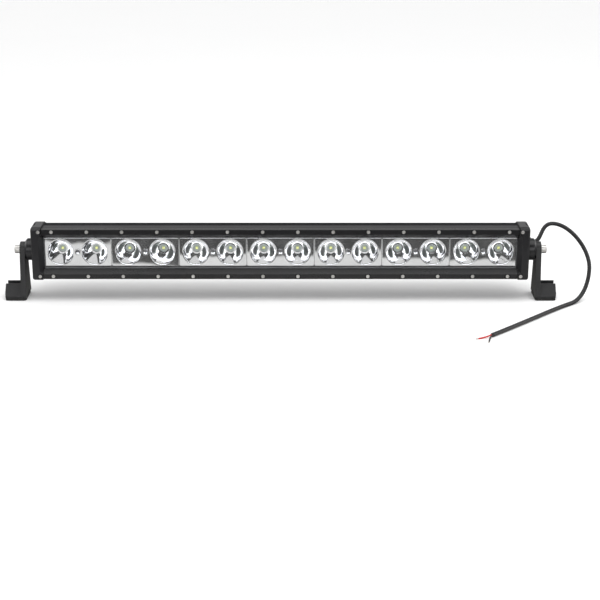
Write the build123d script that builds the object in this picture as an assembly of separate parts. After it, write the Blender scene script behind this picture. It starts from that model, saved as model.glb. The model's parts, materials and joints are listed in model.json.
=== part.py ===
from build123d import *
import os
from math import cos, radians, sin, sqrt

# LED light bar on its two end brackets.
# Millimetres. X runs along the bar, the lamps face -Y, Z is up.
# The origin lies midway between the two foot bolt holes, on the mounting surface.

# Tilt axis (along X)
tilt_height = 77.0            # above the mounting surface

# Bar cross-section, measured from the tilt axis
half_height = 39.5            # housing and bezels, top and bottom
bezel_front = -30.0           # front face of the bezels
wall_front = -24.0            # front edge of the housing side walls
lens_front = -21.0
lens_back = -18.0
ledge_front = -16.5           # step that carries the lens gasket
box_back = -6.0               # back of the smooth front box, first fin follows
floor_front = 9.1             # face the LED boards sit on
floor_back = 13.2
driver_back = 34.0            # back of the driver cavity
core_back = 37.0
fin_back = 45.0
window_half = 31.5            # opening between the side walls
ledge_half = 25.2             # optics cavity half height
core_half = 28.7
rear_core_half = 23.0
driver_half = 20.0
fin_thickness = 2.0
fin_pitch = 6.0
fin_taper_height = 45.0       # fins shorten towards the back from this line
fin_taper_slope = 0.5

# Bar length, half values
housing_end = 364.5
gasket_thickness = 0.8
cap_start = housing_end + gasket_thickness
cap_end = 381.0
boss_end = 394.0
boss_radius = 17.0
boss_chamfer = 3.0

# Bezel strips
bevel_inner_half = 24.5       # height of the bevel's inner edge
bevel_lip = 0.6
bezel_gap = 0.2
bezel_screw_row = 35.3        # height of the screw rows
bezel_screw_count = 14
bezel_screw_span = 698.0
small_head_radius = 2.6
small_head_height = 2.8
small_head_pocket_radius = 3.0
small_head_pocket_depth = 3.0
small_screw_radius = 1.5
small_screw_length = 11.0
small_key = 2.0
bezel_edge_round = 0.8
thread_gap = 0.02             # tapped holes stand this much clear of the shank

# End caps
cap_front = -31.0
cap_half = 42.0               # the caps stand proud of the housing all round
cap_top_back = 11.0           # end of the level top
cap_back = 46.0
cap_back_half = 26.0
cap_edge_round = 3.4
cap_window_outer = 369.5      # bevel of the window's short side, outer edge
cap_window_inner = 362.5      # and its inner edge over the lens end
cap_tongue_half = 24.3
cap_tongue_back = -21.1
cap_face_screw_x = 369.0
cap_pocket_depth = 6.5
cap_slot_x = 377.4            # short slots across the edge beside the front side screws
cap_slot_width = 2.0
cap_slot_length = 13.0
cap_slot_depth = 1.6
side_port_front_y = -10.0
side_port_front_z = 35.5
side_port_back_y = 31.0
side_port_back_z = 23.4
side_port_boss = 3.6
side_head_radius = 3.3
side_head_height = 2.2
side_shank_length = 24.0

# Lens
lens_half_height = 29.5
lens_half_length = 364.2
lens_gasket_inner_half = 23.6  # its lip shows below the optics
lens_gasket_inner_length = 362.7

# Optics
module_count = 7
module_pitch = 104.0
module_gap = 0.2
module_half_height = 23.0
module_corner = 2.0
module_edge_round = 1.2
module_front = -16.3
module_plate = 1.4
module_shell = 1.3
cup_offset = 26.2             # cup centre from module centre
cup_rim_radius = 19.0
cup_lip = 2.0                 # rounding between cup and face
cup_neck_radius = 8.7         # the wall ends here on a level ledge
cup_ledge_depth = 2.2         # bore between ledge and LED board
cup_base_radius = 6.3
cup_base = 7.3
cup_bulge = 0.8               # how much fuller the wall is than a parabola
post_radius = 4.7
post_ring_radius = 5.1
post_ring_height = 0.6
post_bore_radius = 4.0
post_seat = -10.0
leg_radius = 2.0
leg_x = 49.0
leg_z = 20.6
board_front = 7.5
board_half_height = 23.8
board_screw_x = 46.0
clear_hole_radius = 1.7
pan_head_radius = 2.8
pan_head_height = 2.0
board_screw_length = 5.0
blind_hole_end = 12.9
led_package = 5.8
led_package_height = 0.9
led_die = 4.0
led_die_height = 0.25
led_dome_radius = 2.88

# Driver
driver_board_half_length = 75.0
driver_board_half_height = 17.0
driver_board_thickness = 1.6
wire_radius = 1.1
wire_start = 66.0

# Cable gland, on the right cap behind the boss
gland_y = 31.0
gland_z = 3.0
gland_hex = 13.0
gland_nut_hex = 12.4
gland_body_end = 385.3
gland_nut_end = 392.8
gland_spigot_radius = 5.0
gland_spigot_start = 372.5
seal_radius = 4.5
seal_start = 384.0
seal_end = 391.2
cable_radius = 3.15
cable_bore_radius = 3.35
cable_start = 370.0
cable_straight_end = 396.0

# Brackets
arm_inner = 394.2
arm_thickness = 8.0
arm_field = 4.5               # thickness of the recessed field
arm_ring = 5.5                # thickness of the ring round the pivot hole
arm_rim = 5.0                 # width of the raised rim
arm_tip_radius = 12.0
arm_ring_radius = 9.0
arm_hole_radius = 4.25
foot_end = 427.0
foot_half_width = 23.0
foot_bottom = 4.5
foot_edge_height = 2.5
foot_ear_height = 19.0
foot_ear_y = 9.2
foot_pocket_half = 7.5
foot_pocket_floor = 11.6
channel_mouth_half = 11.9
channel_top_half = 7.5
channel_depth = 4.5
foot_hole_x = 410.6
foot_hole_radius = 4.5
foot_corner = 4.0

# Rubber foot pads
pad_width = 45.0
pad_length = 32.0
pad_rib_base_half = 10.8
pad_rib_top_half = 7.3
pad_rib_height = 4.1
pad_ring_radius = 8.5
pad_border = 2.0
pad_groove = 1.6
pad_groove_depth = 1.2
pad_rows_x = 6
pad_rows_y = 8

# Pivot hardware
pivot_shank_radius = 4.0
pivot_shank_length = 20.0
pivot_head_radius = 6.5
pivot_head_height = 8.0
pivot_key = 6.0
flat_washer_radius = 8.0
flat_washer_thickness = 1.6
spring_washer_radius = 6.35
spring_washer_thickness = 2.0
washer_bore = 4.2

UP = (Align.CENTER, Align.CENTER, Align.MIN)
DOWN = (Align.CENTER, Align.CENTER, Align.MAX)
LOW = (Align.MIN, Align.MIN, Align.MIN)


# ---------------------------------------------------------------- helpers

def block(x0, x1, y0, y1, z0, z1):
    """Box given by its two corners."""
    return Pos(x0, y0, z0) * Box(x1 - x0, y1 - y0, z1 - z0, align=LOW)


def patch(y0, y1, z0, z1):
    """Flat rectangle in (y, z)."""
    return Pos((y0 + y1) / 2, (z0 + z1) / 2) * Rectangle(y1 - y0, z1 - z0)


def polygon(points):
    """Flat outline through (y, z) corners."""
    return make_face(Polyline(*points, close=True))


def along_x(flat, x0, x1):
    """Push a (y, z) outline from x0 to x1."""
    return extrude(Plane((x0, 0, 0), x_dir=(0, 1, 0), z_dir=(1, 0, 0)) * flat, x1 - x0, dir=(1, 0, 0))


def rod_x(radius, x0, x1, y=0.0, z=0.0):
    """Round bar along X."""
    return Pos(x0, y, z) * Rot(0, 90, 0) * Cylinder(radius, x1 - x0, align=UP)


def rod_y(radius, y0, y1, x=0.0, z=0.0):
    """Round bar along Y."""
    return Pos(x, y0, z) * Rot(-90, 0, 0) * Cylinder(radius, y1 - y0, align=UP)


def hexagon(across_flats):
    return RegularPolygon(across_flats / sqrt(3), 6)


def on_axis(shape):
    """Lift a piece drawn round the tilt axis to its height above the mounting surface."""
    return Pos(0, 0, tilt_height) * shape


def soft_outline(corners):
    """Closed outline whose corners are rounded; each corner is (y, z, trim before, trim after)."""
    points = [Vector(y, z) for y, z, before, after in corners]
    count = len(corners)
    edges = []
    for i in range(count):
        here = points[i]
        to_previous = (points[i - 1] - here).normalized()
        to_next = (points[(i + 1) % count] - here).normalized()
        start = here + to_previous * corners[i][2]
        end = here + to_next * corners[i][3]
        next_corner = points[(i + 1) % count]
        next_start = next_corner - to_next * corners[(i + 1) % count][2]
        edges.append(Bezier(start, here, end))
        edges.append(Line(end, next_start))
    return make_face(edges)


def cap_screw(head_radius, head_height, shank_radius, shank_length, key):
    """Socket-head cap screw: seat at z = 0, shank up, head down."""
    head = Cylinder(head_radius, head_height, align=DOWN)
    head = fillet(head.edges().sort_by(Axis.Z)[0], head_height * 0.16)
    socket = Pos(0, 0, -head_height) * extrude(hexagon(key), head_height * 0.55)
    shank = Cylinder(shank_radius, shank_length, align=UP)
    shank = chamfer(shank.edges().sort_by(Axis.Z)[-1], shank_radius * 0.2)
    return head + shank - socket


def pan_screw(head_radius, head_height, shank_radius, shank_length):
    """Round-head screw with a cross recess: seat at z = 0, shank up, head down."""
    head = Cylinder(head_radius, head_height, align=DOWN)
    head = fillet(head.edges().sort_by(Axis.Z)[0], head_height * 0.7)
    slot_width = head_radius * 0.3
    slot_length = head_radius * 1.2
    depth = head_height * 0.6
    cross = Box(slot_width, slot_length, depth, align=UP) + Box(slot_length, slot_width, depth, align=UP)
    shank = Cylinder(shank_radius, shank_length, align=UP)
    return head + shank - Pos(0, 0, -head_height) * cross


def facing_back(shape):
    """Turn a screw drawn along +Z so that it drives in the +Y direction."""
    return Rot(-90, 0, 0) * shape


def group(shapes):
    """Separate solids kept in one node."""
    return Compound([solid for shape in shapes for solid in shape.solids()])


# ---------------------------------------------------------------- positions

def bezel_screw_stations():
    step = bezel_screw_span / (bezel_screw_count - 1)
    return [-bezel_screw_span / 2 + step * i for i in range(bezel_screw_count)]


def module_centres():
    return [module_pitch * (i - (module_count - 1) / 2) for i in range(module_count)]


def cup_centres():
    return [centre + side * cup_offset for centre in module_centres() for side in (-1, 1)]


def board_screw_stations():
    return [centre + side * board_screw_x for centre in module_centres() for side in (-1, 1)]


def side_ports():
    front = [(side_port_front_y, side * side_port_front_z) for side in (-1, 1)]
    back = [(side_port_back_y, side * side_port_back_z) for side in (-1, 1)]
    return front + back


# ---------------------------------------------------------------- housing

def fin(y, root, tip):
    """One upper fin with a rounded tip."""
    half = fin_thickness / 2
    return patch(y - half, y + half, root, tip - half) + Pos(y, tip - half) * Circle(half)


def housing_outline():
    shape = patch(wall_front, box_back, -half_height, half_height)
    shape += patch(box_back, floor_back, -core_half, core_half)
    shape += patch(floor_back, core_back, -rear_core_half, rear_core_half)
    upper_fins = []
    y = box_back + fin_pitch - fin_thickness
    while y < core_back:
        tip = min(half_height, fin_taper_height - fin_taper_slope * y)
        root = core_half if y < floor_back else rear_core_half
        upper_fins.append(fin(y, root - 0.5, tip))
        y += fin_pitch
    for upper in upper_fins:
        shape += upper
        shape += mirror(upper, Plane.XZ)
    for row in range(-3, 4):
        z = row * fin_pitch
        shape += patch(core_back - 0.5, fin_back, z - fin_thickness / 2, z + fin_thickness / 2)
    for side in (-1, 1):
        shape += Pos(side_port_back_y, side * side_port_back_z) * Circle(side_port_boss)
    shape -= patch(wall_front, ledge_front, -window_half, window_half)
    shape -= patch(ledge_front, floor_front, -ledge_half, ledge_half)
    shape -= patch(floor_back, driver_back, -driver_half, driver_half)
    for y, z in side_ports():
        shape -= Pos(y, z) * Circle(small_screw_radius + thread_gap)
    return shape


def make_housing():
    body = along_x(housing_outline(), -housing_end, housing_end)
    tapped = small_screw_radius + thread_gap
    holes = []
    for x in bezel_screw_stations():
        for side in (-1, 1):
            holes.append(rod_y(tapped, wall_front, wall_front + small_screw_length, x, side * bezel_screw_row))
    for x in module_centres() + board_screw_stations():
        holes.append(rod_y(tapped, floor_front, blind_hole_end, x, 0))
    return on_axis(body - holes)


# ---------------------------------------------------------------- front frame and lens

def make_bezel(side):
    """Beveled clamping strip; side is 1 for the top, -1 for the bottom."""
    inner = window_half - bezel_gap
    corners = [
        (bezel_front, half_height),
        (wall_front, half_height),
        (wall_front, inner),
        (lens_front, inner),
        (lens_front, bevel_inner_half),
        (lens_front - bevel_lip, bevel_inner_half),
        (bezel_front, window_half),
    ]
    strip = along_x(polygon([(y, side * z) for y, z in corners]), -housing_end, housing_end)
    outer_edge = strip.edges().filter_by(Axis.X).sort_by(lambda e: e.center().Y - side * e.center().Z)[0]
    strip = fillet(outer_edge, bezel_edge_round)
    holes = []
    for x in bezel_screw_stations():
        z = side * bezel_screw_row
        holes.append(rod_y(clear_hole_radius, bezel_front, wall_front, x, z))
        holes.append(rod_y(small_head_pocket_radius, bezel_front, bezel_front + small_head_pocket_depth, x, z))
    return on_axis(strip - holes)


def make_lens():
    pane = block(-lens_half_length, lens_half_length, lens_front, lens_back, -lens_half_height, lens_half_height)
    return on_axis(chamfer(pane.edges().filter_by(Axis.X), 0.4))


def make_lens_gasket():
    outer = block(-lens_half_length, lens_half_length, lens_back, ledge_front, -lens_half_height, lens_half_height)
    length = lens_gasket_inner_length
    height = lens_gasket_inner_half
    return on_axis(outer - block(-length, length, lens_back, ledge_front, -height, height))


# ---------------------------------------------------------------- end caps

def cap_outline(inset=0.0):
    corners = [
        (cap_front + inset, cap_half - inset, 4.5, 9.0),
        (cap_top_back, cap_half - inset, 6.0, 6.0),
        (cap_back - inset, cap_back_half - inset, 7.0, 7.0),
    ]
    lower = [(y, -z, after, before) for y, z, before, after in reversed(corners)]
    return soft_outline(corners + lower)


def window_taper():
    """Solid that fills the beveled window between the caps, used to cut the bevel."""
    slope = (cap_window_outer - cap_window_inner) / (cap_tongue_back - cap_front)
    over = 1.0
    back = Plane((0, cap_tongue_back, 0), x_dir=(1, 0, 0), z_dir=(0, -1, 0))
    depth = cap_tongue_back - cap_front + over
    outer_half = window_half + over * slope
    near = back * Rectangle(2 * cap_window_inner, 2 * bevel_inner_half)
    far = back.offset(depth) * Rectangle(2 * (cap_window_outer + over * slope), 2 * outer_half)
    return loft([near, far])


def make_cap(side, with_gland):
    """End cap drawn for the right end; side is 1 for right, -1 for left."""
    shell = along_x(cap_outline(), cap_start, cap_end)
    shell = fillet(shell.faces().sort_by(Axis.X)[-1].outer_wire().edges(), cap_edge_round)
    tongue = block(cap_window_inner - 1, cap_start, cap_front, cap_tongue_back, -cap_tongue_half, cap_tongue_half)
    boss = rod_x(boss_radius, cap_end - 1, boss_end)
    boss = chamfer(boss.edges().sort_by(Axis.X)[-1], boss_chamfer)
    cap = shell + tongue + boss - window_taper()
    pocket_end = cap_start + cap_pocket_depth
    cap -= block(cap_start, pocket_end, floor_back + 1, driver_back + 2, -driver_half + 2, driver_half - 2)
    cap -= block(cap_start, pocket_end - 2, ledge_front + 3, floor_front - 2, -ledge_half + 3, ledge_half - 3)
    cap -= rod_x(pivot_shank_radius + thread_gap, boss_end - 14, boss_end)
    cap -= chamfer_cone(boss_end, pivot_shank_radius + 0.8, 0.8)
    for y, z in side_ports():
        cap -= rod_x(clear_hole_radius, cap_start, cap_end, y, z)
        cap -= rod_x(side_head_radius + 0.3, cap_end - side_head_height - 0.3, cap_end, y, z)
    for z in (-bezel_screw_row, bezel_screw_row):
        depth = small_head_pocket_depth
        cap -= rod_y(small_head_pocket_radius, cap_front, cap_front + depth, cap_face_screw_x, z)
        deep = cap_front + depth + small_screw_length
        cap -= rod_y(small_screw_radius + thread_gap, cap_front, deep, cap_face_screw_x, z)
    for edge in (-cap_half, cap_half):
        slot = Box(cap_slot_width, cap_slot_length, 2 * cap_slot_depth)
        cap -= Pos(cap_slot_x, side_port_front_y, edge) * slot
    if with_gland:
        cap -= rod_x(gland_spigot_radius + thread_gap, cap_start, cap_end, gland_y, gland_z)
    if side < 0:
        cap = mirror(cap, Plane.YZ)
    return on_axis(cap)


def chamfer_cone(x_mouth, radius, depth):
    """Countersink opening towards +X."""
    cone = Cone(radius - depth, radius, depth, align=UP)
    return Pos(x_mouth - depth, 0, 0) * Rot(0, 90, 0) * cone


def make_end_gasket(side):
    """Flat seal between the housing end and a cap."""
    sheet = cap_outline(inset=1.5)
    sheet -= patch(cap_front, wall_front + 0.5, -cap_half, cap_half)
    sheet -= patch(cap_front, ledge_front, -window_half, window_half)
    sheet -= patch(ledge_front - 1, floor_front, -ledge_half, ledge_half)
    sheet -= patch(floor_back, driver_back, -driver_half, driver_half)
    for y, z in side_ports():
        sheet -= Pos(y, z) * Circle(clear_hole_radius + 0.3)
    seal = along_x(sheet, housing_end, cap_start)
    if side < 0:
        seal = mirror(seal, Plane.YZ)
    return on_axis(seal)


# ---------------------------------------------------------------- optics

def cup_wall(extra):
    """Cup wall as edges in (radius, y) from the LED end to the rim, moved outwards by extra."""
    ledge = cup_base - cup_ledge_depth
    shallow = module_front + cup_lip
    focal = (cup_rim_radius ** 2 - cup_neck_radius ** 2) / (4 * (ledge - shallow))
    pull = ledge + (cup_neck_radius ** 2 - cup_neck_radius * cup_rim_radius) / (4 * focal)
    base = (cup_base_radius + extra, cup_base)
    bore = (cup_base_radius + extra, ledge + extra)
    neck = (cup_neck_radius + extra, ledge)
    middle = ((cup_neck_radius + cup_rim_radius) / 2 + extra, pull + cup_bulge)
    rim = (cup_rim_radius + extra, shallow)
    return [Line(base, bore), Line(bore, neck), Bezier(neck, middle, rim)], base, rim


def cup_shell():
    """Outside of a cup, solid until the cavity is cut from it."""
    outer, base, rim = cup_wall(module_shell)
    behind_face = module_front + module_plate / 2
    wall = outer + [
        Line(rim, (rim[0], behind_face)),
        Line((rim[0], behind_face), (0, behind_face)),
        Line((0, behind_face), (0, cup_base)),
        Line((0, cup_base), base),
    ]
    return revolve(make_face(wall), Axis.Y)


def cup_cavity():
    """Space inside a cup, with the rounded lip where it opens through the face."""
    inner, base, rim = cup_wall(0.0)
    mouth = (cup_rim_radius + cup_lip, module_front)
    wall = inner + [
        Bezier(rim, (cup_rim_radius, module_front), mouth),
        Line(mouth, (0, module_front)),
        Line((0, module_front), (0, cup_base)),
        Line((0, cup_base), base),
    ]
    return revolve(make_face(wall), Axis.Y)


def reflector_module():
    """Plated moulding with two parabolic cups, a centre screw post and four legs."""
    half = module_pitch / 2 - module_gap / 2
    plate_back = module_front + module_plate
    shape = block(-half, half, module_front, plate_back, -module_half_height, module_half_height)
    shape = fillet(shape.edges().filter_by(Axis.Y), module_corner)
    shape = fillet(shape.faces().sort_by(Axis.Y)[0].outer_wire().edges(), module_edge_round)
    for x in (-leg_x, leg_x):
        for z in (-leg_z, leg_z):
            shape += rod_y(leg_radius, plate_back - 0.5, board_front, x, z)
    shape += rod_y(post_radius, module_front, board_front)
    shape += rod_y(post_ring_radius, module_front - post_ring_height, plate_back)
    for x in (-cup_offset, cup_offset):
        shape += Pos(x, 0, 0) * cup_shell()
    for x in (-cup_offset, cup_offset):
        shape -= Pos(x, 0, 0) * cup_cavity()
    shape -= rod_y(post_bore_radius, module_front - post_ring_height, post_seat)
    shape -= rod_y(clear_hole_radius, post_seat, board_front)
    return shape


def led_board():
    half = module_pitch / 2 - module_gap
    board = block(-half, half, board_front, floor_front, -board_half_height, board_half_height)
    for x in (-board_screw_x, 0, board_screw_x):
        board -= rod_y(clear_hole_radius, board_front, floor_front, x, 0)
    return board


def make_led_packages():
    half = led_package / 2
    top = board_front - led_package_height
    return group([on_axis(block(x - half, x + half, top, board_front, -half, half)) for x in cup_centres()])


def die_block(x):
    half = led_die / 2
    top = board_front - led_package_height
    return block(x - half, x + half, top - led_die_height, top, -half, half)


def make_led_dies():
    return group([on_axis(die_block(x)) for x in cup_centres()])


def make_led_domes():
    top = board_front - led_package_height
    domes = []
    for x in cup_centres():
        ball = Pos(x, top, 0) * Sphere(led_dome_radius)
        front_half = block(x - led_package, x + led_package, top - led_package, top, -led_package, led_package)
        domes.append(on_axis((ball & front_half) - die_block(x)))
    return group(domes)


def make_reflector_screws():
    length = blind_hole_end - 0.4 - post_seat
    screw = facing_back(pan_screw(pan_head_radius, pan_head_height, small_screw_radius, length))
    return group([on_axis(Pos(x, post_seat, 0) * screw) for x in module_centres()])


def make_board_screws():
    screw = facing_back(pan_screw(pan_head_radius, pan_head_height, small_screw_radius, board_screw_length))
    return group([on_axis(Pos(x, board_front, 0) * screw) for x in board_screw_stations()])


def make_board_links():
    """Soldered bridges that join each LED board to its neighbour."""
    links = []
    reach = 3.0
    height = 0.8
    for centre in module_centres()[:-1]:
        joint = centre + module_pitch / 2
        for z in (-10.0, 10.0):
            strap = block(joint - reach, joint + reach, board_front - height, board_front, z - 1, z + 1)
            links.append(on_axis(strap))
    return group(links)


# ---------------------------------------------------------------- driver

def driver_front():
    return driver_back - driver_board_thickness


def make_driver_board():
    length = driver_board_half_length
    height = driver_board_half_height
    return on_axis(block(-length, length, driver_front(), driver_back, -height, height))


def make_driver_coils():
    coil = facing_back(Cylinder(7.0, 9.0, align=DOWN) - Cylinder(2.6, 3.0, align=UP))
    coil = fillet(coil.edges().sort_by(Axis.Y)[0], 1.0)
    return group([on_axis(Pos(x, driver_front(), 6) * coil) for x in (-48.0, -16.0, 16.0, 48.0)])


def make_driver_capacitors():
    can = facing_back(Cylinder(4.0, 11.5, align=DOWN))
    can = fillet(can.edges().sort_by(Axis.Y)[0], 0.8)
    return group([on_axis(Pos(x, driver_front(), -9) * can) for x in (-60.0, -32.0, 0.0, 32.0)])


def make_driver_chips():
    chips = []
    for x in (-44.0, -14.0, 14.0, 44.0):
        chip = block(x - 2.5, x + 2.5, driver_front() - 1.6, driver_front(), -11, -6)
        chips.append(on_axis(chip))
    return group(chips)


def make_feed_wire(side):
    """Straight run of one core from the driver board to the cable end."""
    return on_axis(rod_x(wire_radius, wire_start, cable_start - 0.05, gland_y, gland_z + side * 1.4))


# ---------------------------------------------------------------- gland, cable and leads

def gland_hexagon(across_flats, x0, x1):
    nut = extrude(hexagon(across_flats), x1 - x0)
    return Pos(x0, gland_y, gland_z) * Rot(0, 90, 0) * nut


def gland_rod(radius, x0, x1):
    return rod_x(radius, x0, x1, gland_y, gland_z)


def make_gland_body():
    shape = gland_hexagon(gland_hex, cap_end, gland_body_end) & gland_rod(gland_hex * 0.55, cap_end, gland_body_end)
    shape += gland_rod(gland_spigot_radius, gland_spigot_start, cap_end)
    shape -= gland_rod(cable_bore_radius, gland_spigot_start, gland_body_end)
    shape -= gland_rod(seal_radius + 0.02, seal_start, gland_body_end)
    return on_axis(shape)


def make_gland_nut():
    outer = gland_rod(gland_nut_hex * 0.55, gland_body_end, gland_nut_end)
    outer = fillet(outer.edges().sort_by(Axis.X)[-1], 2.6)
    shape = outer & gland_hexagon(gland_nut_hex, gland_body_end, gland_nut_end)
    shape -= gland_rod(cable_bore_radius, gland_body_end, gland_nut_end)
    shape -= gland_rod(seal_radius + 0.02, gland_body_end, seal_end)
    return on_axis(shape)


def make_gland_seal():
    return on_axis(gland_rod(seal_radius, seal_start, seal_end) - gland_rod(cable_radius + 0.03, seal_start, seal_end))


def cable_path():
    """Centre line: out of the gland, up and over behind the bracket, then forward along the surface."""
    height = tilt_height + gland_z
    rest = cable_radius
    leave = Vector(cable_straight_end, gland_y, height)
    crest = Vector(428, 50, 104)
    crest_run = Vector(1, -0.1, 0).normalized()
    side = Vector(480, 0, 45)
    side_run = Vector(-0.1, -0.56, -0.82).normalized()
    landing = Vector(446, -44, rest)
    landing_run = Vector(-0.75, -0.66, 0).normalized()
    middle = Vector(398, -92, rest)
    middle_run = Vector(-0.68, -0.73, 0).normalized()
    end = Vector(307, -188, rest)
    end_run = Vector(-0.7, -0.714, 0).normalized()
    start = Vector(cable_start, gland_y, height)
    pieces = [
        Line(start, leave),
        Bezier(leave, leave + Vector(14, 0, 0), crest - crest_run * 20, crest),
        Bezier(crest, crest + crest_run * 27, side - side_run * 32, side),
        Bezier(side, side + side_run * 24, landing - landing_run * 28, landing),
        Bezier(landing, landing + landing_run * 22, middle - middle_run * 22, middle),
        Bezier(middle, middle + middle_run * 45, end - end_run * 45, end),
    ]
    return Wire(pieces), end, end_run


def swept_tube(path, radius):
    start_plane = Plane(path @ 0, z_dir=path % 0)
    return sweep(start_plane * Circle(radius), path)


def make_power_cable():
    path, end, end_run = cable_path()
    return swept_tube(path, cable_radius)


def lead_path(side):
    """Centre line of one stripped core; side is 1 for the red core, -1 for the black one."""
    path, end, end_run = cable_path()
    across = Vector(0, 0, 1).cross(end_run)
    start = end + end_run * 0.05 - across * side * 1.4
    bend = -radians(25) if side > 0 else radians(30)
    turned = Vector(end_run.X * cos(bend) - end_run.Y * sin(bend), end_run.X * sin(bend) + end_run.Y * cos(bend), 0)
    tip = start + end_run * 5 + turned * 17
    tip = Vector(tip.X, tip.Y, wire_radius)
    return Bezier(start, start + end_run * 8, tip - turned * 8, tip), tip, turned


def make_lead(side):
    path, tip, direction = lead_path(side)
    return swept_tube(Wire([path]), wire_radius)


def make_lead_tips():
    tips = []
    for side in (-1, 1):
        path, tip, direction = lead_path(side)
        plane = Plane(tip + direction * 0.03, z_dir=direction)
        tips.append(plane * Cylinder(0.7, 5.0, align=UP))
    return group(tips)


# ---------------------------------------------------------------- screws of the bar

def make_bezel_screws():
    seat = bezel_front + small_head_pocket_depth
    length = small_screw_length + wall_front - seat - 0.5
    screw = facing_back(cap_screw(small_head_radius, small_head_height, small_screw_radius, length, small_key))
    screws = []
    for x in bezel_screw_stations():
        for side in (-1, 1):
            screws.append(on_axis(Pos(x, seat, side * bezel_screw_row) * screw))
    return group(screws)


def make_cap_face_screws():
    seat = cap_front + small_head_pocket_depth
    length = small_screw_length - 0.5
    screw = facing_back(cap_screw(small_head_radius, small_head_height, small_screw_radius, length, small_key))
    screws = []
    for x in (-cap_face_screw_x, cap_face_screw_x):
        for side in (-1, 1):
            screws.append(on_axis(Pos(x, seat, side * bezel_screw_row) * screw))
    return group(screws)


def make_cap_side_screws():
    screw = pan_screw(side_head_radius, side_head_height, small_screw_radius, side_shank_length)
    inward = Rot(0, -90, 0) * screw
    screws = []
    for y, z in side_ports():
        right = Pos(cap_end - side_head_height - 0.3, y, z) * inward
        screws.append(on_axis(right))
        screws.append(on_axis(mirror(right, Plane.YZ)))
    return group(screws)


# ---------------------------------------------------------------- brackets and pads

def foot_plan():
    """Foot seen from above, from the arm's inner face to the outer end."""
    length = foot_end - arm_inner
    plan = Pos((arm_inner + foot_end) / 2, 0) * RectangleRounded(length, 2 * foot_half_width, foot_corner)
    square_end = Pos(arm_inner + foot_corner, 0) * Rectangle(2 * foot_corner, 2 * foot_half_width)
    return plan + square_end


def foot_channel():
    """Outline of the keyed channel under the foot."""
    return [
        (-channel_mouth_half, foot_bottom),
        (-channel_top_half, foot_bottom + channel_depth),
        (channel_top_half, foot_bottom + channel_depth),
        (channel_mouth_half, foot_bottom),
    ]


def foot_solid():
    corners = [
        (foot_half_width, foot_bottom),
        (foot_half_width, foot_bottom + foot_edge_height),
        (foot_ear_y, foot_bottom + foot_ear_height),
        (foot_pocket_half, foot_bottom + foot_ear_height),
        (foot_pocket_half, foot_bottom + foot_pocket_floor),
    ]
    mirrored = [(-y, z) for y, z in reversed(corners)]
    profile = polygon(corners + mirrored + foot_channel())
    tall = extrude(foot_plan(), tilt_height)
    return along_x(profile, arm_inner, foot_end) & tall


def arm_outline():
    tip = Pos(0, tilt_height) * Circle(arm_tip_radius)
    base = patch(-foot_half_width, foot_half_width, foot_bottom, foot_bottom + foot_edge_height)
    return make_hull(tip.edges() + base.edges())


def arm_recess():
    """Sunk field and ring seat on the outer side of the arm."""
    ring = Pos(0, tilt_height) * Circle(arm_ring_radius)
    field = offset(arm_outline(), amount=-arm_rim)
    top_of_foot = foot_bottom + foot_ear_height + 2
    field = field & patch(-foot_half_width, foot_half_width, top_of_foot, tilt_height)
    field = fillet(field.vertices().sort_by(Axis.Y)[:2], 3.0)
    outer = arm_inner + arm_thickness
    sunk = along_x(field - ring, arm_inner + arm_field, outer)
    return sunk + along_x(ring, arm_inner + arm_ring, outer)


def make_bracket(side):
    """Cast bracket drawn for the right end; side is 1 for right, -1 for left."""
    outer = arm_inner + arm_thickness
    arm = along_x(arm_outline(), arm_inner, outer) - along_x(polygon(foot_channel()), arm_inner, outer)
    shape = arm + foot_solid() - arm_recess()
    shape -= rod_x(arm_hole_radius, arm_inner, outer, 0, tilt_height)
    shape -= Pos(foot_hole_x, 0, 0) * Cylinder(foot_hole_radius, tilt_height, align=UP)
    pocket = block(outer, foot_end, -foot_pocket_half, foot_pocket_half, foot_bottom + foot_pocket_floor, tilt_height)
    shape -= pocket
    if side < 0:
        shape = mirror(shape, Plane.YZ)
    return shape


def make_foot_pad(side):
    """Rubber pad with a keyed rib on top and a studded underside."""
    plan = Pos(foot_hole_x, 0) * RectangleRounded(pad_length, pad_width, foot_corner)
    pad = extrude(plan, foot_bottom)
    rib_top = foot_bottom + pad_rib_height
    rib = polygon([
        (-pad_rib_base_half, foot_bottom - 0.5),
        (-pad_rib_base_half, foot_bottom),
        (-pad_rib_top_half, rib_top),
        (pad_rib_top_half, rib_top),
        (pad_rib_base_half, foot_bottom),
        (pad_rib_base_half, foot_bottom - 0.5),
    ])
    pad += along_x(rib, foot_hole_x - pad_length / 2, foot_hole_x + pad_length / 2)
    inner_x = pad_length / 2 - pad_border
    inner_y = pad_width / 2 - pad_border
    ring = Pos(foot_hole_x, 0, 0) * Cylinder(pad_ring_radius, pad_groove_depth, align=UP)
    pitch_x = (2 * inner_x - pad_groove) / pad_rows_x
    pitch_y = (2 * inner_y - pad_groove) / pad_rows_y
    half_groove = pad_groove / 2
    grooves = []
    for i in range(pad_rows_x + 1):
        x = foot_hole_x - inner_x + half_groove + i * pitch_x
        grooves.append(block(x - half_groove, x + half_groove, -inner_y, inner_y, 0, pad_groove_depth))
    for i in range(pad_rows_y + 1):
        y = -inner_y + half_groove + i * pitch_y
        grooves.append(
            block(foot_hole_x - inner_x, foot_hole_x + inner_x, y - half_groove, y + half_groove, 0, pad_groove_depth)
        )
    cut = grooves[0].fuse(*grooves[1:]) - ring
    pad -= cut
    pad -= Pos(foot_hole_x, 0, 0) * Cylinder(foot_hole_radius, rib_top, align=UP)
    if side < 0:
        pad = mirror(pad, Plane.YZ)
    return pad


# ---------------------------------------------------------------- pivot hardware

def washer_seat():
    return arm_inner + arm_ring


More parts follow.
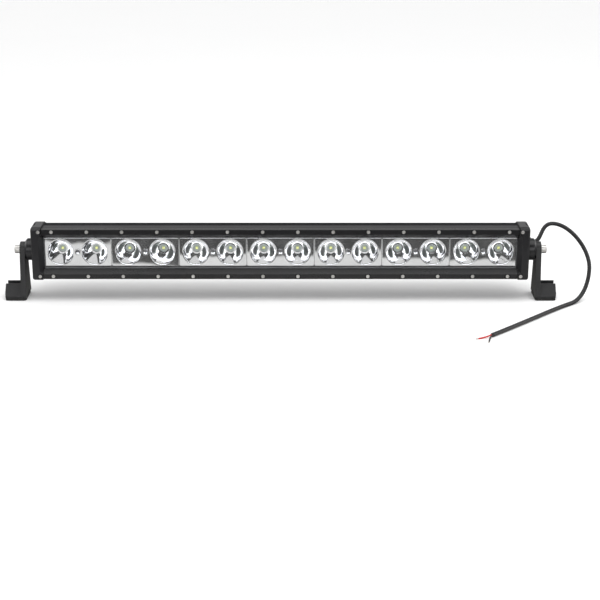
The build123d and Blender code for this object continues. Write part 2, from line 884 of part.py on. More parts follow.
def make_pivot_screw(side):
    seat = washer_seat() + flat_washer_thickness + spring_washer_thickness
    screw = cap_screw(pivot_head_radius, pivot_head_height, pivot_shank_radius, pivot_shank_length, pivot_key)
    placed = Pos(seat, 0, 0) * Rot(0, -90, 0) * screw
    if side < 0:
        placed = mirror(placed, Plane.YZ)
    return on_axis(placed)


def ring_pair(outer_radius, x0, x1, split):
    """One washer on each end of the bar."""
    ring = rod_x(outer_radius, x0, x1) - rod_x(washer_bore, x0, x1)
    if split:
        ring -= Pos((x0 + x1) / 2, 0, outer_radius) * Rot(0, 0, 30) * Box(6 * (x1 - x0), 0.9, outer_radius)
    return group([on_axis(ring), on_axis(mirror(ring, Plane.YZ))])


def make_flat_washers():
    return ring_pair(flat_washer_radius, washer_seat(), washer_seat() + flat_washer_thickness, False)


def make_spring_washers():
    start = washer_seat() + flat_washer_thickness
    return ring_pair(spring_washer_radius, start, start + spring_washer_thickness, True)


# ---------------------------------------------------------------- output

def build_nodes():
    nodes = {
        "housing": make_housing(),
        "top_bezel": make_bezel(1),
        "bottom_bezel": make_bezel(-1),
        "lens": make_lens(),
        "lens_gasket": make_lens_gasket(),
        "left_end_cap": make_cap(-1, False),
        "right_end_cap": make_cap(1, True),
        "left_end_gasket": make_end_gasket(-1),
        "right_end_gasket": make_end_gasket(1),
        "led_packages": make_led_packages(),
        "led_dies": make_led_dies(),
        "led_domes": make_led_domes(),
        "reflector_screws": make_reflector_screws(),
        "board_screws": make_board_screws(),
        "board_links": make_board_links(),
        "driver_board": make_driver_board(),
        "driver_coils": make_driver_coils(),
        "driver_capacitors": make_driver_capacitors(),
        "driver_chips": make_driver_chips(),
        "feed_wire_red": make_feed_wire(1),
        "feed_wire_black": make_feed_wire(-1),
        "gland_body": make_gland_body(),
        "gland_nut": make_gland_nut(),
        "gland_seal": make_gland_seal(),
        "power_cable": make_power_cable(),
        "red_lead": make_lead(1),
        "black_lead": make_lead(-1),
        "lead_tips": make_lead_tips(),
        "bezel_screws": make_bezel_screws(),
        "cap_face_screws": make_cap_face_screws(),
        "cap_side_screws": make_cap_side_screws(),
        "left_bracket": make_bracket(-1),
        "right_bracket": make_bracket(1),
        "left_foot_pad": make_foot_pad(-1),
        "right_foot_pad": make_foot_pad(1),
        "left_pivot_screw": make_pivot_screw(-1),
        "right_pivot_screw": make_pivot_screw(1),
        "pivot_flat_washers": make_flat_washers(),
        "pivot_spring_washers": make_spring_washers(),
    }
    module = reflector_module()
    board = led_board()
    for number, x in enumerate(module_centres(), start=1):
        nodes[f"reflector_{number}"] = on_axis(Pos(x, 0, 0) * module)
        nodes[f"led_board_{number}"] = on_axis(Pos(x, 0, 0) * board)
    return nodes


os.makedirs("parts", exist_ok=True)
for node, shape in build_nodes().items():
    export_step(shape, f"parts/{node}.step")
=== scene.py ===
import bpy
import json
import math
from mathutils import Matrix, Vector


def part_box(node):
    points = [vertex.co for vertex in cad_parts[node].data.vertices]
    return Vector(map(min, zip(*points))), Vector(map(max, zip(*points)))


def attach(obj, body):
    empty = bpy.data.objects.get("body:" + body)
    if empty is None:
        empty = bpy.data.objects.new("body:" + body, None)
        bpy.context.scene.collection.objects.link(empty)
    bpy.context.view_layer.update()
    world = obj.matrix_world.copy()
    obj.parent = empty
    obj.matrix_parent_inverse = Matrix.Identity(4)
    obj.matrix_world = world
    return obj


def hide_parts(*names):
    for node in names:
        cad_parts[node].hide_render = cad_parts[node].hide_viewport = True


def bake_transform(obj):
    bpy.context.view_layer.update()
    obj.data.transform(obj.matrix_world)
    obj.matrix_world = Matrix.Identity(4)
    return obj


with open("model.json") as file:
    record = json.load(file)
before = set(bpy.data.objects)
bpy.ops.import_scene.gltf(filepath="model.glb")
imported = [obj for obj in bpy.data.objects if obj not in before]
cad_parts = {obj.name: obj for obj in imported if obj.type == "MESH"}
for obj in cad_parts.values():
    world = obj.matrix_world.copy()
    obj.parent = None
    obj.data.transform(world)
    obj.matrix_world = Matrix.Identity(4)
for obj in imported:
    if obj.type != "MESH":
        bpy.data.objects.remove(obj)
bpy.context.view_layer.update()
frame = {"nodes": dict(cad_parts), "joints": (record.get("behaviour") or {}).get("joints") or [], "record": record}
nodes = frame["nodes"]
MM = 0.001
UP = Vector((0, 0, 1))


# ---------------------------------------------------------------- node helpers

MIX_SHARE = 0                   # sockets of a mix node
MIX_NUMBERS = (2, 3)
MIX_COLOURS = (6, 7)
MIX_NUMBER_OUT = 0
MIX_COLOUR_OUT = 2
EDGE_FLAT = 0.98                # rounded normal . true normal on a flat
EDGE_SHARP = 0.85               # and on a sharp edge


def plug(tree, value, target):
    """Feed a number, a colour or another node's output into an input."""
    if isinstance(value, bpy.types.NodeSocket):
        tree.links.new(value, target)
    elif value is not None:
        target.default_value = value


def math_node(tree, operation, a, b=None, c=None, clamp=False):
    node = tree.nodes.new("ShaderNodeMath")
    node.operation = operation
    node.use_clamp = clamp
    for value, target in zip((a, b, c), node.inputs):
        plug(tree, value, target)
    return node.outputs[0]


def product(tree, a, b):
    return math_node(tree, "MULTIPLY", a, b)


def scaled(tree, value, factor, offset):
    """value x factor + offset"""
    return math_node(tree, "MULTIPLY_ADD", value, factor, offset)


def mix(tree, kind, share, a, b, into):
    node = tree.nodes.new("ShaderNodeMix")
    node.data_type = kind
    plug(tree, share, node.inputs[MIX_SHARE])
    plug(tree, a, node.inputs[into[0]])
    plug(tree, b, node.inputs[into[1]])
    return node.outputs


def mix_colour(tree, share, a, b):
    return mix(tree, "RGBA", share, a, b, MIX_COLOURS)[MIX_COLOUR_OUT]


def mix_number(tree, share, a, b):
    return mix(tree, "FLOAT", share, a, b, MIX_NUMBERS)[MIX_NUMBER_OUT]


def mix_shaders(tree, share, first, second):
    node = tree.nodes.new("ShaderNodeMixShader")
    for value, target in zip((share, first, second), node.inputs):
        tree.links.new(value, target)
    return node.outputs[0]


def ramp(tree, value, low, high, out_low=0.0, out_high=1.0):
    """Map a value smoothly from one range to another, clamped."""
    node = tree.nodes.new("ShaderNodeMapRange")
    node.interpolation_type = "SMOOTHSTEP"
    node.clamp = True
    plug(tree, value, node.inputs["Value"])
    node.inputs["From Min"].default_value = low
    node.inputs["From Max"].default_value = high
    node.inputs["To Min"].default_value = out_low
    node.inputs["To Max"].default_value = out_high
    return node.outputs["Result"]


def split_xyz(tree, vector):
    node = tree.nodes.new("ShaderNodeSeparateXYZ")
    tree.links.new(vector, node.inputs[0])
    return node.outputs


def noise(tree, scale, stretch=(1, 1, 1), detail=3.0, seed=0.0):
    """Noise over object coordinates (metres), stretched per axis; a seed shifts it."""
    coords = tree.nodes.new("ShaderNodeTexCoord")
    mapping = tree.nodes.new("ShaderNodeMapping")
    mapping.inputs["Scale"].default_value = stretch
    mapping.inputs["Location"].default_value = (seed, seed * 0.7, seed * 1.3)
    tree.links.new(coords.outputs["Object"], mapping.inputs["Vector"])
    node = tree.nodes.new("ShaderNodeTexNoise")
    node.inputs["Scale"].default_value = scale
    node.inputs["Detail"].default_value = detail
    tree.links.new(mapping.outputs["Vector"], node.inputs["Vector"])
    return node.outputs["Fac"]


def edge_mask(tree, radius):
    """1 near sharp edges, 0 on flats, and the rounded normal itself."""
    bevel = tree.nodes.new("ShaderNodeBevel")
    bevel.samples = 4
    bevel.inputs["Radius"].default_value = radius
    geometry = tree.nodes.new("ShaderNodeNewGeometry")
    dot = tree.nodes.new("ShaderNodeVectorMath")
    dot.operation = "DOT_PRODUCT"
    tree.links.new(bevel.outputs["Normal"], dot.inputs[0])
    tree.links.new(geometry.outputs["Normal"], dot.inputs[1])
    return ramp(tree, dot.outputs["Value"], EDGE_FLAT, EDGE_SHARP), bevel.outputs["Normal"]


def bump(tree, height, strength, distance, normal):
    node = tree.nodes.new("ShaderNodeBump")
    node.inputs["Strength"].default_value = strength
    node.inputs["Distance"].default_value = distance
    tree.links.new(height, node.inputs["Height"])
    tree.links.new(normal, node.inputs["Normal"])
    return node.outputs["Normal"]


def seen_in_mirror(tree):
    """1 for a ray that reached here off a shiny surface and nothing matt before it."""
    path = tree.nodes.new("ShaderNodeLightPath")
    matt_bounces = math_node(tree, "MINIMUM", path.outputs["Diffuse Depth"], 1.0)
    return math_node(tree, "SUBTRACT", path.outputs["Is Glossy Ray"], matt_bounces, clamp=True)


# ---------------------------------------------------------------- kinds of surface

PATCH_CONTRAST = (0.3, 0.7)     # noise levels that give the dark and the light colour
WEAR_CONTRAST = (0.4, 0.65)     # noise levels between which an edge goes from sound to worn
SMUDGE_SCALE = 5.0              # smudges are this much finer than the colour patches
SMUDGE_SHARE = 0.6              # of the roughness pattern; the rest is fine grain
DUST_SCALE = 60.0
DUST_SEED = 2.0
DUST_ROUGHENS = 4               # times the clean sheet's roughness
FILM_WHITE = (0.8, 0.8, 0.8, 1)
WAVES = 30.0                    # waves in the chrome, per metre
WAVE_SLOPE = 0.045


def new_material(name):
    mat = bpy.data.materials.new(name)
    mat.use_nodes = True
    return mat, mat.node_tree


def finish(name, dark, light, rough, metallic=0.0, patch_scale=14.0, grain=1400.0, grain_depth=0.00003,
           grain_strength=0.25, stretch=(1, 1, 1), edge=0.0004, worn=None, worn_share=0.5, specular=0.5,
           painted_mirror_shade=None, painted_glow=0.0, seed=0.0):
    """
    Principled surface: blotchy colour, uneven roughness, fine bump, rounded edges and slight edge wear.

    worn is the colour at rubbed edges; the mirror colour is a painted shade, a darker colour that the chrome shows
    of this surface; and the glow is a faint painted light, though the part is no lamp. Lengths (grain_depth, edge)
    are in metres, patch_scale and grain are per metre.
    """
    mat, tree = new_material(name)
    shader = tree.nodes["Principled BSDF"]
    blotch = noise(tree, patch_scale, stretch, 4.0, seed)
    fine = noise(tree, grain, stretch, 2.0, seed + 3.0)
    smudge = noise(tree, patch_scale * SMUDGE_SCALE, stretch, 3.0, seed + 9.0)
    colour = mix_colour(tree, ramp(tree, blotch, *PATCH_CONTRAST), (*dark, 1), (*light, 1))
    mask, rounded = edge_mask(tree, edge)
    pattern = scaled(tree, smudge, SMUDGE_SHARE, product(tree, fine, 1.0 - SMUDGE_SHARE))
    if worn is not None:
        rubbed = product(tree, mask, ramp(tree, smudge, *WEAR_CONTRAST))
        colour = mix_colour(tree, product(tree, rubbed, worn_share), colour, (*worn, 1))
    # painted shade: the chrome mirrors this surface in a darker colour than its own
    if painted_mirror_shade is not None:
        colour = mix_colour(tree, seen_in_mirror(tree), colour, (*painted_mirror_shade, 1))
    plug(tree, colour, shader.inputs["Base Color"])
    # painted glow: light given off by a part that is no lamp
    if painted_glow:
        plug(tree, colour, shader.inputs["Emission Color"])
        shader.inputs["Emission Strength"].default_value = painted_glow
        mat.cycles.emission_sampling = "NONE"
    plug(tree, scaled(tree, pattern, rough[1] - rough[0], rough[0]), shader.inputs["Roughness"])
    shader.inputs["Metallic"].default_value = metallic
    shader.inputs["Specular IOR Level"].default_value = specular
    plug(tree, bump(tree, fine, grain_strength, grain_depth, rounded), shader.inputs["Normal"])
    return mat


def clear_sheet(name, tint, rough, ior, haze):
    """Thin clear plastic: lets lamps through, mirrors by the Fresnel share, with faint haze and dust."""
    mat, tree = new_material(name)
    tree.nodes.remove(tree.nodes["Principled BSDF"])
    dust = noise(tree, DUST_SCALE, detail=4.0, seed=DUST_SEED)
    clear = tree.nodes.new("ShaderNodeBsdfTransparent")
    clear.inputs["Color"].default_value = (*tint, 1)
    mirror = tree.nodes.new("ShaderNodeBsdfGlossy")
    plug(tree, ramp(tree, dust, 0.3, 0.8, rough, rough * DUST_ROUGHENS), mirror.inputs["Roughness"])
    fresnel = tree.nodes.new("ShaderNodeFresnel")
    fresnel.inputs["IOR"].default_value = ior
    side = tree.nodes.new("ShaderNodeNewGeometry")
    outer_face = math_node(tree, "SUBTRACT", 1.0, side.outputs["Backfacing"])
    film = tree.nodes.new("ShaderNodeBsdfDiffuse")
    film.inputs["Color"].default_value = FILM_WHITE
    mirror_share = product(tree, fresnel.outputs[0], outer_face)
    clean = mix_shaders(tree, mirror_share, clear.outputs[0], mirror.outputs[0])
    dusty = mix_shaders(tree, ramp(tree, dust, 0.35, 0.75, 0.0, haze), clean, film.outputs[0])
    tree.links.new(dusty, tree.nodes["Material Output"].inputs["Surface"])
    return mat


def chrome(name, lean, seed):
    """Plated plastic, faintly wavy; lean tips the whole moulding's reflections up or down."""
    mat = finish(name, (0.90, 0.90, 0.91), (0.96, 0.96, 0.97), (0.02, 0.06), metallic=1.0, patch_scale=20.0,
                 grain=300.0, grain_depth=0.00002, grain_strength=0.05, edge=0.0005, seed=seed)
    tree = mat.node_tree
    shader = tree.nodes["Principled BSDF"]
    smooth_normal = shader.inputs["Normal"].links[0].from_socket
    wave_x = noise(tree, WAVES, detail=1.0, seed=seed + 5.0)
    wave_z = noise(tree, WAVES, detail=1.0, seed=seed + 8.0)
    offset = tree.nodes.new("ShaderNodeCombineXYZ")
    plug(tree, scaled(tree, wave_x, WAVE_SLOPE, -WAVE_SLOPE / 2), offset.inputs["X"])
    plug(tree, scaled(tree, wave_z, WAVE_SLOPE, lean - WAVE_SLOPE / 2), offset.inputs["Z"])
    total = tree.nodes.new("ShaderNodeVectorMath")
    total.operation = "ADD"
    tree.links.new(smooth_normal, total.inputs[0])
    tree.links.new(offset.outputs[0], total.inputs[1])
    unit = tree.nodes.new("ShaderNodeVectorMath")
    unit.operation = "NORMALIZE"
    tree.links.new(total.outputs[0], unit.inputs[0])
    tree.links.new(unit.outputs[0], shader.inputs["Normal"])
    return mat


# ---------------------------------------------------------------- materials

MODULE_LEANS = (-0.034, 0.037, 0.0, 0.0, -0.008, 0.015, 0.021)      # one for each reflector, left to right


def paints():
    """Black coatings of the metal parts."""
    return {
        "housing_paint": finish(
            "housing_black", (0.010, 0.010, 0.011), (0.016, 0.016, 0.018), (0.30, 0.46), grain=2200.0,
            stretch=(0.15, 1, 1), worn=(0.10, 0.10, 0.105), worn_share=0.35, specular=0.22, seed=1.0),
        "bezel_paint": finish(
            "bezel_black", (0.006, 0.006, 0.007), (0.011, 0.011, 0.012), (0.22, 0.34), grain=2400.0,
            stretch=(0.2, 1, 1), edge=0.0013, worn=(0.09, 0.09, 0.095), worn_share=0.15, specular=0.4,
            seed=2.0),
        "cap_paint": finish(
            "cap_black", (0.008, 0.008, 0.009), (0.014, 0.014, 0.016), (0.24, 0.36), grain=1500.0,
            grain_depth=0.00006, edge=0.0011, worn=(0.09, 0.09, 0.095), worn_share=0.2, specular=0.42,
            seed=3.0),
        "bracket_paint": finish(
            "bracket_black", (0.010, 0.010, 0.011), (0.020, 0.020, 0.021), (0.40, 0.58), grain=1100.0,
            grain_depth=0.00010, grain_strength=0.35, worn=(0.14, 0.14, 0.145), edge=0.0006, seed=4.0),
    }


def metals():
    """Bare metals of screws, washers, strands and driver parts."""
    return {
        "stainless": finish(
            "stainless", (0.56, 0.55, 0.53), (0.74, 0.73, 0.71), (0.24, 0.40), metallic=0.72,
            patch_scale=120.0, grain=5000.0, seed=5.0),
        "tinned_copper": finish(
            "tinned_copper", (0.60, 0.56, 0.48), (0.78, 0.75, 0.68), (0.22, 0.40), metallic=1.0,
            patch_scale=300.0, grain=4000.0, edge=0.0001, seed=12.0),
        "can_aluminium": finish(
            "can_aluminium", (0.55, 0.55, 0.57), (0.70, 0.70, 0.72), (0.25, 0.40), metallic=1.0,
            patch_scale=150.0, seed=18.0),
        "solder": finish(
            "solder", (0.50, 0.50, 0.50), (0.70, 0.70, 0.70), (0.25, 0.40), metallic=1.0,
            patch_scale=300.0, seed=20.0),
    }


def rubbers_and_plastics():
    """Seals, foot pads, gland and wire insulation."""
    return {
        "seal_rubber": finish(
            "seal_rubber", (0.010, 0.010, 0.010), (0.020, 0.020, 0.020), (0.65, 0.85), grain=900.0, seed=7.0),
        "pad_rubber": finish(
            "pad_rubber", (0.012, 0.012, 0.012), (0.026, 0.026, 0.026), (0.60, 0.85), grain=800.0,
            grain_depth=0.00015, grain_strength=0.5, seed=8.0),
        "gland_nylon": finish(
            "gland_nylon", (0.012, 0.012, 0.013), (0.022, 0.022, 0.023), (0.38, 0.52), patch_scale=120.0,
            worn=(0.08, 0.08, 0.08), seed=21.0),
        "cable_jacket": finish(
            "cable_jacket", (0.009, 0.009, 0.010), (0.016, 0.016, 0.017), (0.34, 0.50), grain=900.0,
            seed=9.0),
        "red_insulation": finish(
            "red_insulation", (0.45, 0.012, 0.010), (0.62, 0.020, 0.015), (0.28, 0.42), patch_scale=90.0,
            seed=10.0),
        "black_insulation": finish(
            "black_insulation", (0.010, 0.010, 0.011), (0.020, 0.020, 0.020), (0.30, 0.42), patch_scale=90.0,
            seed=11.0),
    }


def lamp_parts():
    """Lens and LEDs. The dies share their faces with the domes; the board, the LED packages and the dies get a
    faint painted glow to stay visible, and the board and dies show in the chrome in a painted darker colour.
    """
    return {
        "clear_polycarbonate": clear_sheet("lens_clear", (0.97, 0.975, 0.98), 0.03, 1.35, 0.02),
        "led_silicone": clear_sheet("led_dome_clear", (0.96, 0.97, 0.94), 0.05, 1.4, 0.05),
        "board_aluminium": finish(
            "board_mask", (0.38, 0.42, 0.40), (0.46, 0.50, 0.48), (0.35, 0.55), patch_scale=60.0,
            painted_mirror_shade=(0.12, 0.13, 0.125), painted_glow=0.18, seed=13.0),
        "led_ceramic": finish(
            "led_ceramic", (0.34, 0.38, 0.35), (0.42, 0.46, 0.43), (0.35, 0.50), patch_scale=200.0, painted_glow=0.2,
            seed=14.0),
        "phosphor": finish(
            "phosphor_yellow", (0.88, 0.84, 0.35), (0.97, 0.94, 0.50), (0.35, 0.50), patch_scale=500.0,
            edge=0.0012, worn=(0.36, 0.38, 0.28), worn_share=1.0, painted_mirror_shade=(0.32, 0.31, 0.20), painted_glow=0.75,
            seed=15.0),
    }


def driver_parts():
    """The driver board inside the housing."""
    return {
        "fibreglass": finish(
            "driver_board_green", (0.015, 0.10, 0.04), (0.03, 0.16, 0.07), (0.35, 0.50), patch_scale=80.0,
            seed=16.0),
        "ferrite": finish(
            "ferrite_grey", (0.03, 0.03, 0.032), (0.06, 0.06, 0.062), (0.5, 0.7), patch_scale=150.0,
            seed=17.0),
        "chip_epoxy": finish(
            "chip_epoxy", (0.015, 0.015, 0.016), (0.03, 0.03, 0.03), (0.45, 0.60), patch_scale=200.0,
            seed=19.0),
    }


def own_materials():
    """Nodes whose look differs from the rest of their material slot."""
    made = {
        "lens_gasket": finish(
            "gasket_grey", (0.15, 0.15, 0.155), (0.22, 0.22, 0.225), (0.55, 0.75), grain=900.0, seed=22.0),
        "reflector_screws": finish(
            "zinc_screw", (0.26, 0.26, 0.27), (0.40, 0.40, 0.41), (0.30, 0.48), metallic=0.8,
            patch_scale=150.0, edge=0.0003, seed=23.0),
    }
    for number, lean in enumerate(MODULE_LEANS, start=1):
        made[f"reflector_{number}"] = chrome(f"reflector_chrome_{number}", lean, 6.0 + number)
    return made


def dress_nodes():
    """Give every CAD node its material."""
    for row in frame["record"]["subparts"]:
        piece = nodes[row["node"]]
        piece.data.materials.clear()
        piece.data.materials.append(special.get(row["node"]) or materials[row["material_slot"]])


materials = {**paints(), **metals(), **rubbers_and_plastics(), **lamp_parts(), **driver_parts()}
special = own_materials()
dress_nodes()


# ---------------------------------------------------------------- flexible pieces

CABLE_RADIUS = 3.15 * MM
CABLE_SIDES = 28
JACKET_INSIDE = 2.4 * MM        # the jacket starts this far inside the end cap's pocket
JACKET_STRAIGHT = 3.2 * MM      # and runs straight this far past the gland nut
LEAD_RADIUS = 1.1 * MM
LEAD_SIDES = 16
LEAD_SPACING = 1.4 * MM         # each lead's distance from the cable's centre line
LEAD_LENGTHS = (5.3, 17.0)      # mm, along the cable and then along the splayed end
LEAD_INSET = 0.3                # mm, how far each lead starts inside the jacket
LEAD_PULL = 8 * MM              # handles of the lead's curve
STRANDS = 7
STRAND_RADIUS = 0.2 * MM
STRAND_SIDES = 8
STRAND_RING = 0.42 * MM
STRAND_STEPS = 14
STRAND_TWIST = 2.4              # radians over the stripped length
STRAND_FLARE = 0.25
STRAND_LENGTH = 5.2             # mm
STRAND_ROOT = 0.6               # mm, hidden inside the insulation
PAD_VOXEL = 0.4 * MM
PAD_SMOOTHING = 2               # rounds


def bezier(a, b, c, d, count):
    """Points on a cubic curve, without its last point."""
    out = []
    for i in range(count):
        t = i / count
        s = 1 - t
        out.append(a * s ** 3 + b * (3 * s * s * t) + c * (3 * s * t * t) + d * t ** 3)
    return out


def mesh_piece(name, verts, faces, material):
    mesh = bpy.data.meshes.new(name)
    mesh.from_pydata([tuple(v) for v in verts], [], faces)
    mesh.polygons.foreach_set("use_smooth", [True] * len(mesh.polygons))
    mesh.materials.append(material)
    mesh.update()
    piece = bpy.data.objects.new(name, mesh)
    bpy.context.scene.collection.objects.link(piece)
    return piece


def tube(name, points, radius, material, sides):
    """Closed round tube along points."""
    verts = []
    normal = UP
    count = len(points)
    for i, point in enumerate(points):
        ahead = (points[min(i + 1, count - 1)] - points[max(i - 1, 0)]).normalized()
        normal = (normal - ahead * normal.dot(ahead)).normalized()
        across = ahead.cross(normal)
        for k in range(sides):
            angle = 2 * math.pi * k / sides
            verts.append(point + (normal * math.cos(angle) + across * math.sin(angle)) * radius)
    faces = []
    for i in range(count - 1):
        for k in range(sides):
            after = (k + 1) % sides
            faces.append((i * sides + k, i * sides + after, (i + 1) * sides + after, (i + 1) * sides + k))
    faces.append(tuple(reversed(range(sides))))
    faces.append(tuple((count - 1) * sides + k for k in range(sides)))
    return mesh_piece(name, verts, faces, material)


def cable_points():
    """Cable centre line: out of the gland, over in an S, down to the floor and along it to the leads."""
    low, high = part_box("gland_nut")
    gland_y = (low.y + high.y) / 2
    gland_z = (low.z + high.z) / 2
    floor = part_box("power_cable")[0].z + CABLE_RADIUS
    start = Vector((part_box("gland_body")[0].x - JACKET_INSIDE, gland_y, gland_z))
    leave = Vector((high.x + JACKET_STRAIGHT, gland_y, gland_z))
    crest = Vector((428, 50, 104)) * MM
    crest_run = Vector((1, -0.1, 0)).normalized() * MM
    side = Vector((480, 0, 45)) * MM
    side_run = Vector((-0.1, -0.56, -0.82)).normalized() * MM
    landing = Vector((446 * MM, -44 * MM, floor))
    landing_run = Vector((-0.75, -0.66, 0)).normalized() * MM
    middle = Vector((398 * MM, -92 * MM, floor))
    middle_run = Vector((-0.68, -0.73, 0)).normalized() * MM
    end = Vector((307 * MM, -188 * MM, floor))
    end_run = Vector((-0.7, -0.714, 0)).normalized() * MM
    points = [start.lerp(leave, i / 12) for i in range(12)]
    points += bezier(leave, leave + Vector((14 * MM, 0, 0)), crest - crest_run * 20, crest, 30)
    points += bezier(crest, crest + crest_run * 27, side - side_run * 32, side, 40)
    points += bezier(side, side + side_run * 24, landing - landing_run * 28, landing, 40)
    points += bezier(landing, landing + landing_run * 22, middle - middle_run * 22, middle, 30)
    points += bezier(middle, middle + middle_run * 45, end - end_run * 45, end, 50)
    points.append(end)
    return points, end, end_run.normalized()


def make_cable():
    points, end, run = cable_points()
    cable = tube("cable_jacket_tube", points, CABLE_RADIUS, materials["cable_jacket"], CABLE_SIDES)
    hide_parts("power_cable")
    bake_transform(cable)
    return end, run


def make_lead(name, node, slot, side, splay, end, run):
    """One insulated lead out of the jacket's end; returns its tip and the splayed end's direction."""
    across = UP.cross(run)
    start = end - run * LEAD_INSET * MM - across * side * LEAD_SPACING
    turned = Matrix.Rotation(math.radians(splay), 3, "Z") @ run
    straight, splayed = LEAD_LENGTHS
    tip = start + run * straight * MM + turned * splayed * MM
    tip.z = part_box("power_cable")[0].z + LEAD_RADIUS
    points = bezier(start, start + run * LEAD_PULL, tip - turned * LEAD_PULL, tip, 24)
    points.append(tip)
    lead = tube(name, points, LEAD_RADIUS, materials[slot], LEAD_SIDES)
    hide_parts(node)
    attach(lead, "mount")
    return tip, turned


def strand_points(tip, turned, number):
    """One strand: the first lies in the middle, the others wind round it and flare a little."""
    across = UP.cross(turned)
    ring = 0.0 if number == 0 else STRAND_RING
    phase = 2 * math.pi * number / (STRANDS - 1)
    points = []
    for i in range(STRAND_STEPS + 1):
        t = i / STRAND_STEPS
        angle = phase + t * STRAND_TWIST
        spread = ring * (1 + STRAND_FLARE * t)
        along = turned * (t * STRAND_LENGTH - STRAND_ROOT) * MM
        points.append(tip + along + (across * math.cos(angle) + UP * math.sin(angle)) * spread)
    return points


def make_strands(tips):
    """Twisted tinned strands at the two stripped ends, as one piece."""
    pieces = []
    for lead, (tip, turned) in enumerate(tips):
        for number in range(STRANDS):
            points = strand_points(tip, turned, number)
            name = f"strand_{lead}_{number}"
            pieces.append(tube(name, points, STRAND_RADIUS, materials["tinned_copper"], STRAND_SIDES))
    bpy.ops.object.select_all(action="DESELECT")
    for piece in pieces:
        piece.select_set(True)
    strands = pieces[0]
    bpy.context.view_layer.objects.active = strands
    bpy.ops.object.join()
    strands.name = "lead_strands"
    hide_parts("lead_tips")
    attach(strands, "mount")


def soften_pad(node, name):
    """Rubber pad made from its CAD node: same place, softened edges."""
    piece = bpy.data.objects.new(name, nodes[node].data.copy())
    bpy.context.scene.collection.objects.link(piece)
    remesh = piece.modifiers.new("remesh", "REMESH")
    remesh.mode = "VOXEL"
    remesh.voxel_size = PAD_VOXEL
    remesh.use_smooth_shade = True
    smooth = piece.modifiers.new("smooth", "SMOOTH")
    smooth.factor = 0.5
    smooth.iterations = PAD_SMOOTHING
    bpy.context.view_layer.objects.active = piece
    bpy.ops.object.select_all(action="DESELECT")
    piece.select_set(True)
    bpy.ops.object.modifier_apply(modifier=remesh.name)
    bpy.ops.object.modifier_apply(modifier=smooth.name)
    piece.data.materials.clear()
    piece.data.materials.append(materials["pad_rubber"])
    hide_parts(node)
    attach(piece, "mount")


cable_end, cable_run = make_cable()
red = make_lead("lead_red", "red_lead", "red_insulation", 1, -25, cable_end, cable_run)
black = make_lead("lead_black", "black_lead", "black_insulation", -1, 30, cable_end, cable_run)
make_strands([red, black])
for hand in ("left", "right"):
    soften_pad(f"{hand}_foot_pad", f"rubber_pad_{hand}")


# ---------------------------------------------------------------- floor

FLOOR_Z = 0.0
FLOOR_HALF = 14                 # metres
PAPER_DARK = (0.94, 0.94, 0.94, 1)
PAPER_LIGHT = (0.955, 0.955, 0.955, 1)
NEAR_EDGE = (-0.276, -0.252)    # y where the floor that mirrors see turns from dark to white
BAR_SHADE = (-0.090, -0.030)    # y where the painted shadow of the bar starts in the floor that mirrors see, and its middle
SHADE_LEFT = 0.2                # share of the light left in that shadow
NEAR_LIGHT = 0.74
FAR_LIGHT = 0.085
MIRRORED_PAPER = (1.0, 0.985, 0.955, 1)


def floor_in_mirrors(tree):
    """What mirrors see: white near the bar and dark farther out, like a table edge in a dark studio, with a
    painted shadow of the bar right under it.
    """
    geometry = tree.nodes.new("ShaderNodeNewGeometry")
    y = split_xyz(tree, geometry.outputs["Position"])["Y"]
    near = ramp(tree, y, *NEAR_EDGE)
    # painted shadow of the bar in the floor that mirrors see
    shade = ramp(tree, y, *BAR_SHADE, 1.0, SHADE_LEFT)
    painted_glow = tree.nodes.new("ShaderNodeEmission")
    painted_glow.inputs["Color"].default_value = MIRRORED_PAPER
    plug(tree, scaled(tree, product(tree, near, shade), NEAR_LIGHT, FAR_LIGHT), painted_glow.inputs["Strength"])
    return painted_glow.outputs[0]


def make_floor():
    """Plain pale floor."""
    h = FLOOR_HALF
    mesh = bpy.data.meshes.new("floor")
    corners = [(-h, -h, FLOOR_Z), (h, -h, FLOOR_Z), (h, h, FLOOR_Z), (-h, h, FLOOR_Z)]
    mesh.from_pydata(corners, [], [(0, 1, 2, 3)])
    floor = bpy.data.objects.new("floor", mesh)
    bpy.context.scene.collection.objects.link(floor)
    mat, tree = new_material("floor_white")
    mat.cycles.emission_sampling = "NONE"
    shader = tree.nodes["Principled BSDF"]
    paper = noise(tree, 3.0)
    plug(tree, mix_colour(tree, paper, PAPER_DARK, PAPER_LIGHT), shader.inputs["Base Color"])
    shader.inputs["Roughness"].default_value = 0.8
    shader.inputs["Specular IOR Level"].default_value = 0.2
    both = mix_shaders(tree, seen_in_mirror(tree), shader.outputs[0], floor_in_mirrors(tree))
    tree.links.new(both, tree.nodes["Material Output"].inputs["Surface"])
    mesh.materials.append(mat)


# ---------------------------------------------------------------- studio

# Each fade runs from its dark end to its bright end along one part of the mirrored ray's unit direction.
OVERHEAD = (0.84, 0.90)
OVERHEAD_LIGHT = 2.0
LEFT = (-0.62, -0.72)
RIGHT = (0.62, 0.72)
SIDE_FOOT = (0.12, 0.20)
SIDE_LIGHT = 1.6
BEHIND = (0.0, 0.3)
BEHIND_TOP = (0.72, 0.40)
BEHIND_LIGHT = 0.6
FRONT = (-0.2, -0.4)
FRONT_FOOT = (0.02, 0.08)
FRONT_TOP = (0.56, 0.48)
FRONT_SIDES = (0.33, 0.25)
FRONT_LIGHT = 2.6
DARK_STUDIO = 0.05
SKY_HEIGHTS = (-0.2, 1.0)
SKY_LIGHTS = (0.80, 1.05)
BACKDROP_LIFT = 0.2             # extra for what the camera sees straight on

KEY_PLACE = (0.3, -0.7, 1.9)
KEY_AIM = (0.0, 0.0, 0.05)
KEY_SIZE = (1.8, 1.2)
KEY_POWER = 22.0

CAMERA_LENS = 87.6              # mm, on a 36 mm sensor
CAMERA_DISTANCE = 2.262
CAMERA_X = 0.030
SIGHT_ANGLE = math.radians(16.5)        # how far above the pivots the camera stands
CAMERA_PITCH = math.radians(18.5)


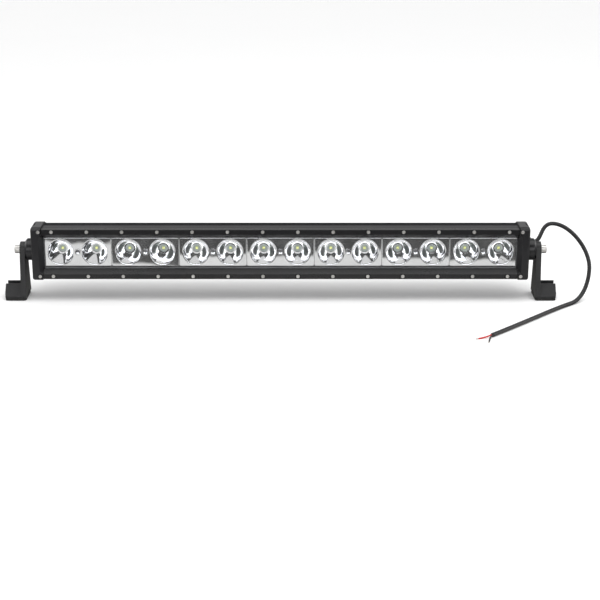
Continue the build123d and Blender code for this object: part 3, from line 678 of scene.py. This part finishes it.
def soft_boxes(tree, direction):
    """What mirrors see above the floor: a dark studio with soft boxes and a white sweep behind."""
    x, y, z = direction
    aside = math_node(tree, "ABSOLUTE", x)
    boxes = (
        (OVERHEAD_LIGHT, [(z, OVERHEAD)]),
        (SIDE_LIGHT, [(x, LEFT), (z, SIDE_FOOT)]),
        (SIDE_LIGHT, [(x, RIGHT), (z, SIDE_FOOT)]),
        (BEHIND_LIGHT, [(y, BEHIND), (z, BEHIND_TOP)]),
        (FRONT_LIGHT, [(y, FRONT), (z, FRONT_FOOT), (z, FRONT_TOP), (aside, FRONT_SIDES)]),
    )
    total = DARK_STUDIO
    for light, fades in boxes:
        box = light
        for value, fade in fades:
            box = product(tree, ramp(tree, value, *fade), box)
        total = math_node(tree, "ADD", box, total)
    return total


def make_world():
    """Even pale sky for matt surfaces and the camera, soft boxes for mirrors."""
    world = bpy.data.worlds.new("studio")
    bpy.context.scene.world = world
    world.use_nodes = True
    world.cycles.sampling_method = "NONE"
    tree = world.node_tree
    background = tree.nodes["Background"]
    coords = tree.nodes.new("ShaderNodeTexCoord")
    direction = split_xyz(tree, coords.outputs["Generated"])
    path = tree.nodes.new("ShaderNodeLightPath")
    sky = ramp(tree, direction["Z"], *SKY_HEIGHTS, *SKY_LIGHTS)
    plain = scaled(tree, path.outputs["Is Camera Ray"], BACKDROP_LIFT, sky)
    seen = mix_number(tree, seen_in_mirror(tree), plain, soft_boxes(tree, direction))
    plug(tree, seen, background.inputs["Strength"])
    background.inputs["Color"].default_value = (1, 1, 1, 1)


def make_key_light():
    """One big soft light overhead, which mirrors don't see."""
    data = bpy.data.lights.new("key_overhead", "AREA")
    data.shape = "RECTANGLE"
    data.size, data.size_y = KEY_SIZE
    data.energy = KEY_POWER
    light = bpy.data.objects.new("key_overhead", data)
    bpy.context.scene.collection.objects.link(light)
    light.location = KEY_PLACE
    light.rotation_euler = (Vector(KEY_AIM) - Vector(KEY_PLACE)).to_track_quat("-Z", "Y").to_euler()
    light.visible_glossy = False


def make_camera():
    """Camera at the photo's angle, in front of the pivots."""
    data = bpy.data.cameras.new("camera")
    data.sensor_width = 36.0
    data.lens = CAMERA_LENS
    camera = bpy.data.objects.new("camera", data)
    bpy.context.scene.collection.objects.link(camera)
    pivot_z = next(joint for joint in frame["joints"] if joint["name"] == "bar_tilt")["pos_m"][2]
    back = CAMERA_DISTANCE * math.cos(SIGHT_ANGLE)
    rise = CAMERA_DISTANCE * math.sin(SIGHT_ANGLE)
    camera.location = (CAMERA_X, -back, pivot_z + rise)
    camera.rotation_euler = (math.radians(90) - CAMERA_PITCH, 0, 0)
    bpy.context.scene.camera = camera


make_floor()
make_world()
make_key_light()
make_camera()
scene = bpy.context.scene
scene.view_settings.view_transform = "Standard"
scene.view_settings.look = "None"
scene.view_settings.exposure = 0.0
